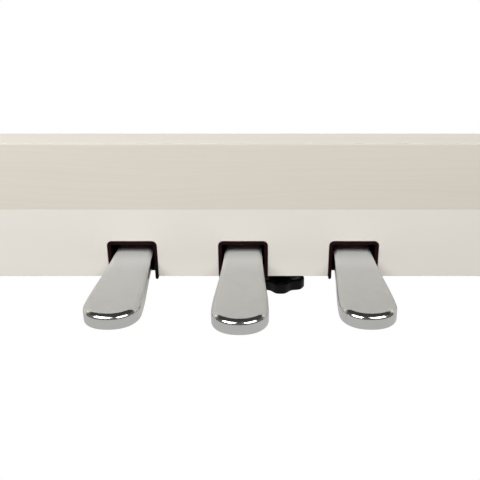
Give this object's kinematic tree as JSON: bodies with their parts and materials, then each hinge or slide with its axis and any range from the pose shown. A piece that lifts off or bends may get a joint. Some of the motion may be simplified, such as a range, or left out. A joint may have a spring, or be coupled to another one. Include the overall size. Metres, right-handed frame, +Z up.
{
  "type": "piano pedal board",
  "caption": "Board that spans a piano stand near the floor, with soft, sostenuto and damper pedals on sprung levers in a steel box and a screw foot that props the middle.",
  "frame": {"origin": "middle of the outer face of the left end bracket, where it is screwed to the stand's left side panel", "axes": "+X along the board to the right-hand end, +Y from the boards' front to the back, +Z up; the pedals point to -Y"},
  "size_m": [1.28, 0.3312, 0.1617],
  "materials": {
    "woodgrain_foil": "pale wood-grain foil on board, satin",
    "white_lacquer": "smooth satin white lacquer on board",
    "satin_chrome": "plated casting, satin top and bright edges",
    "bezel_plastic": "dark maroon moulded plastic",
    "black_steel": "black powder coat",
    "zinc_steel": "bright zinc plated",
    "spring_steel": "oiled spring wire",
    "knob_plastic": "moulded, lightly textured",
    "white_nylon": "plain moulded nylon",
    "black_plastic": "plain moulded plastic",
    "wool_felt": "dense wool felt",
    "black_rubber": "moulded rubber",
    "circuit_laminate": "green solder resist"
  },
  "bodies": {
    "board": {"crossboard": "woodgrain_foil", "lower_panel": "white_lacquer", "end_bracket_left": "zinc_steel", "end_bracket_right": "zinc_steel", "joining_plate_left": "zinc_steel", "joining_plate_right": "zinc_steel", "pedal_box": "black_steel", "pedal_box_lid": "black_steel", "circuit_board": "circuit_laminate", "board_spacer_left": "white_nylon", "board_spacer_right": "white_nylon", "cable_socket": "black_plastic", "adjuster_nut": "zinc_steel", "soft_bezel": "bezel_plastic", "soft_pivot_pin": "zinc_steel", "soft_pivot_bracket": "black_steel", "soft_spring": "spring_steel", "soft_rest_felt": "wool_felt", "soft_stop_rubber": "black_rubber", "soft_sensor": "black_plastic", "sostenuto_bezel": "bezel_plastic", "sostenuto_pivot_pin": "zinc_steel", "sostenuto_pivot_bracket": "black_steel", "sostenuto_spring": "spring_steel", "sostenuto_rest_felt": "wool_felt", "sostenuto_stop_rubber": "black_rubber", "sostenuto_sensor": "black_plastic", "damper_bezel": "bezel_plastic", "damper_pivot_pin": "zinc_steel", "damper_pivot_bracket": "black_steel", "damper_spring": "spring_steel", "damper_rest_felt": "wool_felt", "damper_stop_rubber": "black_rubber", "damper_sensor": "black_plastic", "bracket_screw_left_lower": "zinc_steel", "box_screw_left_lower": "zinc_steel", "bracket_screw_left_upper": "zinc_steel", "box_screw_left_upper": "zinc_steel", "bracket_screw_right_lower": "zinc_steel", "box_screw_right_lower": "zinc_steel", "bracket_screw_right_upper": "zinc_steel", "box_screw_right_upper": "zinc_steel"},
    "soft_pedal_arm": {"soft_pedal": "satin_chrome", "soft_lever": "zinc_steel", "soft_lever_screw": "zinc_steel", "soft_bush": "white_nylon"},
    "sostenuto_pedal_arm": {"sostenuto_pedal": "satin_chrome", "sostenuto_lever": "zinc_steel", "sostenuto_lever_screw": "zinc_steel", "sostenuto_bush": "white_nylon"},
    "damper_pedal_arm": {"damper_pedal": "satin_chrome", "damper_lever": "zinc_steel", "damper_lever_screw": "zinc_steel", "damper_bush": "white_nylon"},
    "soft_plunger": {"soft_sensor_plunger": "white_nylon"},
    "sostenuto_plunger": {"sostenuto_sensor_plunger": "white_nylon"},
    "damper_plunger": {"damper_sensor_plunger": "white_nylon"},
    "foot": {"adjuster_foot": "black_rubber"},
    "adjuster_screw": {"adjuster_knob": "knob_plastic", "adjuster_rod": "zinc_steel"}
  },
  "joints": [
    {"name": "soft_press", "type": "hinge", "parent": "board", "child": "soft_pedal_arm", "pos_m": [0.536, 0.10635, -0.0821], "axis": [1, 0, 0], "range_deg": [0, 3.2], "stiffness_Nm_per_rad": 75, "springref_deg": -1.09, "deforming": ["soft_spring"]},
    {"name": "sostenuto_press", "type": "hinge", "parent": "board", "child": "sostenuto_pedal_arm", "pos_m": [0.64, 0.10635, -0.0821], "axis": [1, 0, 0], "range_deg": [0, 3.2], "stiffness_Nm_per_rad": 75, "springref_deg": -1.09, "deforming": ["sostenuto_spring"]},
    {"name": "damper_press", "type": "hinge", "parent": "board", "child": "damper_pedal_arm", "pos_m": [0.744, 0.10635, -0.0821], "axis": [1, 0, 0], "range_deg": [0, 3.2], "stiffness_Nm_per_rad": 75, "springref_deg": -1.09, "deforming": ["damper_spring"]},
    {"name": "soft_sense", "type": "slide", "parent": "board", "child": "soft_plunger", "axis": [0, 0, -1], "range_m": [0, 0.0021]},
    {"name": "sostenuto_sense", "type": "slide", "parent": "board", "child": "sostenuto_plunger", "axis": [0, 0, -1], "range_m": [0, 0.0021]},
    {"name": "damper_sense", "type": "slide", "parent": "board", "child": "damper_plunger", "axis": [0, 0, -1], "range_m": [0, 0.0021]},
    {"name": "foot_travel", "type": "slide", "parent": "board", "child": "foot", "axis": [0, 0, 1], "range_m": [-0.006, 0.01]},
    {"name": "knob_turn", "type": "hinge", "parent": "foot", "child": "adjuster_screw", "pos_m": [0.6764, -0.01265, -0.1311], "axis": [0, 0, 1], "range_deg": [-1450, 2410]}
  ],
  "couplings": [
    {"joint": "soft_sense", "follows": "soft_press", "m_per_rad": 0.037},
    {"joint": "sostenuto_sense", "follows": "sostenuto_press", "m_per_rad": 0.037},
    {"joint": "damper_sense", "follows": "damper_press", "m_per_rad": 0.037},
    {"joint": "knob_turn", "follows": "foot_travel", "rad_per_m": 4188.8}
  ]
}
